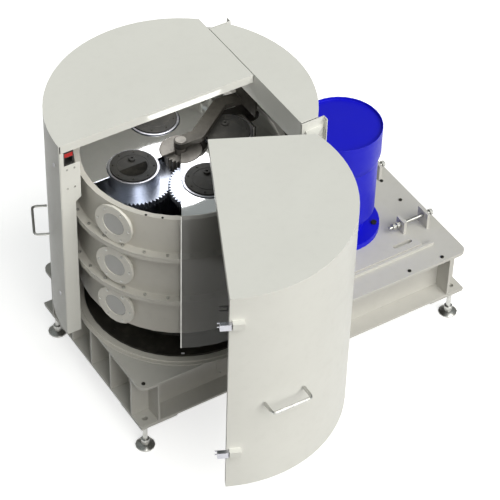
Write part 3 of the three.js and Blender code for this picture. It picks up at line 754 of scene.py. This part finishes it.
BEVEL_STEPS = 2
SHARP_FROM = math.radians(38)  # edges sharper than this are bevelled
SMOOTH_WITHIN = math.radians(35)
FACETS_WITHIN = math.radians(0.6)  # flatter joints than this are dissolved


def softened(node, finish, edge):
    """A merged copy of a solid with soft edges, in millimetres, standing for that solid."""
    source = frame["nodes"][node]
    piece = bpy.data.objects.new(node + "_finished", source.data.copy())
    bpy.context.scene.collection.objects.link(piece)
    only(piece)
    piece.data.materials.clear()
    piece.data.materials.append(finish)
    bpy.ops.object.mode_set(mode="EDIT")
    bpy.ops.mesh.select_all(action="SELECT")
    bpy.ops.mesh.remove_doubles(threshold=0.00001)
    bpy.ops.mesh.dissolve_limited(angle_limit=FACETS_WITHIN)
    bpy.ops.object.mode_set(mode="OBJECT")
    if edge:
        bpy.ops.object.modifier_add(type="BEVEL")
        rounding = piece.modifiers[-1]
        rounding.width = edge * MM
        rounding.segments = BEVEL_STEPS
        rounding.limit_method = "ANGLE"
        rounding.angle_limit = SHARP_FROM
        rounding.use_clamp_overlap = True
        bpy.ops.object.modifier_apply(modifier=rounding.name)
    bpy.ops.object.shade_smooth_by_angle(angle=SMOOTH_WITHIN)
    bpy.ops.object.modifier_add(type="WEIGHTED_NORMAL")
    weighting = piece.modifiers[-1]
    weighting.keep_sharp = True
    bpy.ops.object.modifier_apply(modifier=weighting.name)
    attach(piece, body_of_node[node])
    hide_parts(node)
    return piece


# %% [markdown]
# The same helper serves every solid. Heavy plate gets a wider rounding than gear teeth, where a
# wide one would eat the tooth, and the round handles need none.

# %% Soften every solid
USUAL_EDGE = 1.0
edge_of = {
    "shield": 0.6,
    "barrel_1": 0.4,
    "barrel_2": 0.4,
    "barrel_3": 0.4,
    "barrel_4": 0.4,
    "sun_gear": 0.4,
    "base_plate": 1.5,
    "top_cover": 0.5,
    "front_handle": 0,
    "back_handle": 0,
}
finish_of = {}
for node, slot in slot_of_node.items():
    finish_of[node] = finishes.get(slot)
    if slot == "gear_steel":
        finish_of[node] = finishes["gear_steel_" + node[-1]]
    if node.startswith("sight_window"):
        finish_of[node] = finishes["window_paint"]
for node in ("centre_post", "centre_disc", "sun_gear"):
    finish_of[node] = finishes["post_steel"]
softened_pieces = {}
for node in slot_of_node:
    softened_pieces[node] = softened(node, finish_of[node], edge_of.get(node, USUAL_EDGE))
total_faces = sum(len(piece.data.polygons) for piece in softened_pieces.values())
print(len(softened_pieces), "solids softened,", total_faces, "faces")

# %% [markdown]
# ## Screws
# A socket screw is a turned head with a rounded rim and a round well for the key. It is modelled
# once: a short cylinder stands on its face, the top is inset, and the inner face is pushed down.
# The same screw, at several sizes, closes the windows, the flanges and the barrel caps. Copies get
# their own meshes, because each rides with its own body.


# %% Model a socket screw and a hexagon bolt
def facing(piece, direction, least=0.9):
    """Selects, in edit mode, the faces of a piece that look along a direction."""
    mesh = bmesh.from_edit_mesh(piece.data)
    count = 0
    for face in mesh.faces:
        face.select_set(face.normal.dot(direction) > least)
        count += face.select
    mesh.select_flush_mode()
    bmesh.update_edit_mesh(piece.data)
    return count


def screw_pattern(name, sides, rim, well, depth):
    """A screw head of radius 1 and height 1 standing on the level, with a well for its key."""
    bpy.ops.object.select_all(action="DESELECT")
    bpy.ops.mesh.primitive_cylinder_add(vertices=sides, radius=1, depth=1, location=(0, 0, 0.5))
    pattern = bpy.context.object
    pattern.name = name
    bpy.ops.object.transform_apply(location=True)
    bpy.ops.object.mode_set(mode="EDIT")
    bpy.ops.mesh.select_mode(type="FACE")
    facing(pattern, UP)
    bpy.ops.mesh.inset(thickness=rim)
    bpy.ops.transform.translate(value=(0, 0, rim * 0.8))
    bpy.ops.mesh.inset(thickness=1 - rim - well)
    bpy.ops.mesh.extrude_region_move(TRANSFORM_OT_translate={"value": (0, 0, -depth)})
    facing(pattern, -UP)
    bpy.ops.mesh.extrude_region_move(TRANSFORM_OT_translate={"value": (0, 0, -0.15)})
    bpy.ops.object.mode_set(mode="OBJECT")
    bpy.ops.object.shade_smooth_by_angle(angle=math.radians(32))
    return pattern


socket_screw = screw_pattern("socket_screw_pattern", 20, 0.14, 0.5, 0.6)
hexagon_bolt = screw_pattern("hexagon_bolt_pattern", 6, 0.10, 0.62, 0.08)
print("screw patterns:", len(socket_screw.data.polygons), len(hexagon_bolt.data.polygons), "faces")


# %% [markdown]
# A pattern stands at the origin with its axis upright. The helper copies its mesh, scales it, turns
# it to its direction and moves it, all inside the mesh, so the new object itself stays unturned.

# %% The helper that sets a copy in its place
def set_copy(pattern, name, place, direction, size, body, slot, finish):
    """A copy of a pattern with its own mesh, standing at a place and pointing along a direction."""
    mesh = pattern.data.copy()
    stand = direction.to_track_quat("Z", "Y").to_matrix().to_4x4()
    scale = Matrix.Diagonal((size[0] * MM, size[0] * MM, size[1] * MM, 1))
    mesh.transform(Matrix.Translation(place) @ stand @ scale)
    mesh.materials.clear()
    mesh.materials.append(finishes[finish])
    piece = bpy.data.objects.new(name, mesh)
    bpy.context.scene.collection.objects.link(piece)
    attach(piece, body)
    return piece


# %% [markdown]
# The window frames are held by six screws each, the two pairs of drum flanges by thirty each, and
# the turntable by six. The screws are set in circles, so only the radius, the first angle and the
# step between two screws are needed.

# %% Set the drum's screws
WINDOW_ANGLE = 203.5
WINDOW_FACE = 496
WINDOW_SCREW_CIRCLE = 83
FLANGE_SCREW_CIRCLE = 494
FLANGE_HALF = 14  # from the joint to the top of the upper flange
FLANGE_SCREWS = 30
TABLE_SCREW_CIRCLE = 410
window_count = 0
for number in (1, 2, 3):
    low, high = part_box(f"sight_window_{number}")
    middle_z = ((low.z + high.z) / 2 - DECK_Z) / MM
    out = outward(WINDOW_ANGLE)
    beside = UP.cross(out)
    for step in range(6):
        turn = math.radians(60 * step)
        offset = (beside * math.cos(turn) + UP * math.sin(turn)) * WINDOW_SCREW_CIRCLE * MM
        place = round_axis(WINDOW_FACE, WINDOW_ANGLE, middle_z) + offset
        set_copy(
            socket_screw,
            f"window_{number}_screw_{step + 1}",
            place,
            out,
            (5.5, 4),
            body_of_node[f"sight_window_{number}"],
            "steel",
            "steel",
        )
        window_count += 1
flange_count = 0
for housing in ("lower", "middle"):
    flange_top = (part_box(f"{housing}_housing")[1].z - DECK_Z) / MM + FLANGE_HALF
    for step in range(FLANGE_SCREWS):
        angle = 209 + 360 / FLANGE_SCREWS * step
        set_copy(
            socket_screw,
            f"{housing}_flange_screw_{step + 1}",
            round_axis(FLANGE_SCREW_CIRCLE, angle, flange_top),
            UP,
            (7, 6),
            "drum",
            "steel",
            "steel",
        )
        flange_count += 1
for step in range(6):
    set_copy(
        socket_screw,
        f"turntable_screw_{step + 1}",
        round_axis(TABLE_SCREW_CIRCLE, 193 + 60 * step, TURNTABLE_TOP),
        UP,
        (9, 2.5),
        "drum",
        "black_coat",
        "black_coat",
    )
print(window_count, "window screws,", flange_count, "flange screws")

# %% [markdown]
# ## Barrel caps
# Each cap is a turned cover with a ring of screws, a small breather boss and a bright rim where the
# barrel's polished end shows. The caps turn with their barrels, so the screws ride with them.


# %% Model the rim ring and the boss
def ring_pattern(name, inner, outer, height, sides=72):
    """A low ring on the level, with a rounded outer edge; the radii are in millimetres."""
    bpy.ops.object.select_all(action="DESELECT")
    bpy.ops.mesh.primitive_cylinder_add(
        vertices=sides, radius=outer * MM, depth=height * MM, location=(0, 0, height * MM / 2)
    )
    pattern = bpy.context.object
    pattern.name = name
    bpy.ops.object.transform_apply(location=True)
    bpy.ops.object.mode_set(mode="EDIT")
    bpy.ops.mesh.select_mode(type="FACE")
    facing(pattern, UP)
    bpy.ops.mesh.inset(thickness=(outer - inner) * MM * 0.3)
    bpy.ops.transform.translate(value=(0, 0, height * MM * 0.35))
    bpy.ops.mesh.inset(thickness=(outer - inner) * MM * 0.7)
    bpy.ops.mesh.delete(type="ONLY_FACE")
    facing(pattern, -UP)
    bpy.ops.mesh.inset(thickness=(outer - inner) * MM)
    bpy.ops.mesh.delete(type="ONLY_FACE")
    bpy.ops.mesh.select_all(action="DESELECT")
    mesh = bmesh.from_edit_mesh(pattern.data)
    for edge in mesh.edges:
        edge.select_set(edge.is_boundary)
    bmesh.update_edit_mesh(pattern.data)
    bpy.ops.mesh.select_mode(type="EDGE")
    bpy.ops.mesh.bridge_edge_loops()
    bpy.ops.mesh.select_all(action="SELECT")
    bpy.ops.mesh.normals_make_consistent(inside=False)
    bpy.ops.object.mode_set(mode="OBJECT")
    bpy.ops.object.shade_smooth_by_angle(angle=math.radians(40))
    return pattern


boss_pattern = screw_pattern("boss_pattern", 32, 0.12, 0.42, 0.7)
rim_pattern = ring_pattern("rim_pattern", 105.8, 114.6, 1.2, 96)
groove_pattern = ring_pattern("groove_pattern", 70, 73, 1.0, 96)
print("ring faces:", len(rim_pattern.data.polygons))

# %% [markdown]
# The rim ring lies on the barrel's end and the ridge on the cap. Both patterns are drawn at true
# size, so their copies are scaled back from the helper's millimetres.

# %% Dress the four barrel caps
cap_turn = {1: 20.0, 2: 10.0, 3: 195.0, 4: 139.0}
SCREWS_ROUND_CAP = 8
CAP_SCREW_CIRCLE = 90
FULL_SIZE = (1 / MM, 1 / MM)  # for patterns drawn in metres
for number in (1, 2, 3, 4):
    low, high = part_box(f"barrel_cap_{number}")
    barrel_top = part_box(f"barrel_{number}")[1].z
    middle = Vector(((low.x + high.x) / 2, (low.y + high.y) / 2, high.z))
    body = body_of_node[f"barrel_{number}"]
    seat = Vector((middle.x, middle.y, barrel_top))
    plated = (body, "bright_steel", "bright_steel")
    coated = (body, "cap_coat", "cap_coat")
    set_copy(rim_pattern, f"cap_{number}_rim", seat, UP, FULL_SIZE, *plated)
    set_copy(groove_pattern, f"cap_{number}_ridge", middle, UP, FULL_SIZE, *coated)
    for step in range(SCREWS_ROUND_CAP):
        turn = math.radians(cap_turn[number] + 360 / SCREWS_ROUND_CAP * step)
        place = middle + Vector((math.cos(turn), math.sin(turn), 0)) * CAP_SCREW_CIRCLE * MM
        set_copy(
            socket_screw,
            f"cap_{number}_screw_{step + 1}",
            place,
            UP,
            (4.6, 3),
            body,
            "black_coat",
            "black_coat",
        )
    boss_place = middle + Vector((13, 37, 0)) * MM
    set_copy(boss_pattern, f"cap_{number}_boss", boss_place, UP, (15, 9), *coated)
print("caps dressed")

# %% [markdown]
# Barrel 3 has a half-moon inspection well in its cap, and the shade in the well is painted as a
# thin black plate. The plate is a round disc that is bisected through its middle, so only one half
# is left, and its rim is bevelled.

# %% The half-moon plate of painted shade
bpy.ops.object.select_all(action="DESELECT")
low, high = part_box("barrel_cap_3")
bpy.ops.mesh.primitive_cylinder_add(
    vertices=64,
    radius=66 * MM,
    depth=1.6 * MM,
    location=((low.x + high.x) / 2 - 6 * MM, (low.y + high.y) / 2 - 3 * MM, high.z + 0.9 * MM),
)
half_moon = bpy.context.object
half_moon.name = "half_moon_painted_shade"
moon_centre = half_moon.location.copy()
bpy.ops.object.transform_apply(location=True)
bpy.ops.object.mode_set(mode="EDIT")
bpy.ops.mesh.select_all(action="SELECT")
bpy.ops.mesh.bisect(
    plane_co=moon_centre, plane_no=(0.0, 1.0, 0.0), use_fill=True, clear_outer=True
)
bpy.ops.mesh.select_all(action="SELECT")
bpy.ops.mesh.bevel(offset=0.4 * MM, segments=1, clamp_overlap=True)
bpy.ops.object.mode_set(mode="OBJECT")
# Its near-black finish is painted shade for the well.
half_moon.data.materials.append(finishes["painted_shade_black"])
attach(half_moon, body_of_node["barrel_3"])
print("half-moon faces:", len(half_moon.data.polygons))

# %% [markdown]
# ## Thin plates
# Marks, strips and covers are thin plates with broken edges. The outline is filled, extruded to its
# thickness, and bevelled.


# %% Thin plates
def thin_plate(name, corners, height, body, finish, edge=0.3):
    """A plate from a list of corners: the outline is filled, extruded up and bevelled."""
    mesh = bpy.data.meshes.new(name)
    mesh.from_pydata([tuple(c) for c in corners], [], [tuple(range(len(corners)))])
    piece = bpy.data.objects.new(name, mesh)
    bpy.context.scene.collection.objects.link(piece)
    only(piece)
    bpy.ops.object.mode_set(mode="EDIT")
    bpy.ops.mesh.select_all(action="SELECT")
    bpy.ops.mesh.extrude_region_move(TRANSFORM_OT_translate={"value": tuple(height)})
    bpy.ops.mesh.select_all(action="SELECT")
    bpy.ops.mesh.normals_make_consistent(inside=False)
    bpy.ops.object.mode_set(mode="OBJECT")
    bpy.ops.object.modifier_add(type="BEVEL")
    rounding = piece.modifiers[-1]
    rounding.width = edge * MM
    rounding.segments = 2
    bpy.ops.object.modifier_apply(modifier=rounding.name)
    piece.data.materials.clear()
    piece.data.materials.append(finishes[finish])
    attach(piece, body)
    return piece


print("thin plate helper ready")

# %% [markdown]
# The clear screen's polished edge gathers light into a bright line, so a thin steel strip along it
# stands for that line: a painted highlight. A small white plate lies on the turntable at the
# screen's foot, and two near-black discs in the drum's rim stand for the shade inside its two
# holes: painted shade.

# %% The screen edge's painted highlight, the white tick and the rim holes' painted shade
STRIP_INNER, STRIP_OUTER = 519.5, 525.6
STRIP_FROM, STRIP_TO = 239.55, 240.0
RIM_MIDDLE = 468
HOLE_SHADE_SINK = 0.4
screen_low, screen_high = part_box("shield")
strip_low = (screen_low.z - DECK_Z) / MM
strip_high = (screen_high.z - DECK_Z) / MM
strip_base = [
    round_axis(STRIP_INNER, STRIP_FROM, strip_low),
    round_axis(STRIP_OUTER, STRIP_FROM, strip_low),
    round_axis(STRIP_OUTER, STRIP_TO, strip_low),
    round_axis(STRIP_INNER, STRIP_TO, strip_low),
]
strip_rise = UP * (strip_high - strip_low) * MM
# A steel strip along the screen's edge: a painted highlight for the bright line that edge shows.
thin_plate("screen_edge_highlight", strip_base, strip_rise, "base", "steel")
# A small white plate on the turntable at the foot of the screen.
mark_outline = ((436, 240), (446, 240), (446, 242), (436, 242))
mark_corners = [round_axis(radius, angle, TURNTABLE_TOP) for radius, angle in mark_outline]
thin_plate("white_tick", mark_corners, UP * 0.8 * MM, "drum", "keeper_white")
rim_top = (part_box("upper_housing")[1].z - DECK_Z) / MM
# Two near-black discs, sunk a little into the rim: painted shade for the inside of the rim's two
# holes.
for number, angle in ((1, 221), (2, 230)):
    set_copy(
        boss_pattern,
        f"rim_hole_painted_shade_{number}",
        round_axis(RIM_MIDDLE, angle, rim_top - HOLE_SHADE_SINK),
        UP,
        (5.6, 1.4),
        "drum",
        "black_coat",
        "painted_shade_black",
    )
print("edge, mark and plugs set")

# %% [markdown]
# ## Small fittings on the guard
# Four screws fix the post's cover strip, a red plate marks the door switch, and two white keepers
# on the back door hold it shut. They are all fixed to the back door and swing with it.

# %% Fit the post screws, the switch plate and the keepers
GUARD_RADIUS = 600
KEEPER_ANGLE = 174.6
switch_low, switch_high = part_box("interlock_switch")
post_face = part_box("back_door_post")[0].y
for step, (x, z) in enumerate(((-529, 994), (-565, 994), (-529, 886), (-565, 886))):
    place = at(x, 0, z)
    place.y = post_face
    set_copy(
        socket_screw,
        f"post_screw_{step + 1}",
        place,
        Vector((0, -1, 0)),
        (4.5, 2.4),
        "back_door",
        "steel",
        "steel",
    )
plate_left = switch_low.x + 3 * MM
plate_right = switch_high.x - 3 * MM
plate_low = switch_high.z - 24 * MM
plate_high = switch_high.z - 4 * MM
plate_corners = [
    Vector((plate_left, switch_low.y, plate_low)),
    Vector((plate_right, switch_low.y, plate_low)),
    Vector((plate_right, switch_low.y, plate_high)),
    Vector((plate_left, switch_low.y, plate_high)),
]
plate_rise = Vector((0, -1.2 * MM, 0))
thin_plate("switch_plate", plate_corners, plate_rise, "back_door", "red_label")
for number, z in ((1, 996), (2, 227)):
    set_copy(
        boss_pattern,
        f"door_keeper_{number}",
        round_axis(GUARD_RADIUS, KEEPER_ANGLE, z),
        outward(KEEPER_ANGLE),
        (10, 4),
        "back_door",
        "guard_paint",
        "keeper_white",
    )
print("guard fittings set")

# %% [markdown]
# ## Fittings on the base and the motor
# Socket screws close the base plate, a bolted panel in the front web gives access to the belt, and
# four hexagon bolts hold the motor's flange. The bolts ride with the motor, which slides.

# %% Fit the base screws, the access panel and the flange bolts
for step, (x, y) in enumerate(((1252, 156), (1253, -8), (1193, -446), (1003, -446), (-452, -440))):
    set_copy(
        socket_screw,
        f"base_screw_{step + 1}",
        at(x, y, 0),
        UP,
        (9, 4),
        "base",
        "black_coat",
        "black_coat",
    )
web_face = (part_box("front_web")[0].y - AXIS_Y) / MM
panel_corners = [
    at(-31, web_face, -225),
    at(65, web_face, -225),
    at(65, web_face, -134),
    at(-31, web_face, -134),
]
panel_rise = Vector((0, -3 * MM, 0))
thin_plate(
    "access_panel", panel_corners, panel_rise, "base", "light_paint", 0.8
)
set_copy(
    socket_screw,
    "access_panel_screw",
    at(-12, web_face - 3, -203),
    Vector((0, -1, 0)),
    (7, 4),
    "base",
    "steel",
    "steel",
)
MOTOR_BOLT_CIRCLE = 190
MOTOR_FLANGE_TOP = 50
motor_low, motor_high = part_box("motor_cowl")
motor_axis = Vector(((motor_low.x + motor_high.x) / 2, (motor_low.y + motor_high.y) / 2, 0))
for step in range(4):
    turn = math.radians(-40 + 90 * step)
    place = motor_axis + Vector((math.cos(turn), math.sin(turn), 0)) * MOTOR_BOLT_CIRCLE * MM
    place.z = DECK_Z + MOTOR_FLANGE_TOP * MM
    set_copy(
        hexagon_bolt,
        f"motor_flange_bolt_{step + 1}",
        place,
        UP,
        (15, 10),
        "motor_carriage",
        "black_coat",
        "black_coat",
    )
print("base and motor fittings set")

# %% [markdown]
# ## Putting the patterns away
# The patterns have done their work, so they are deleted.

# %% Delete the patterns
for pattern in (socket_screw, hexagon_bolt, boss_pattern, rim_pattern, groove_pattern):
    bpy.data.objects.remove(pattern)
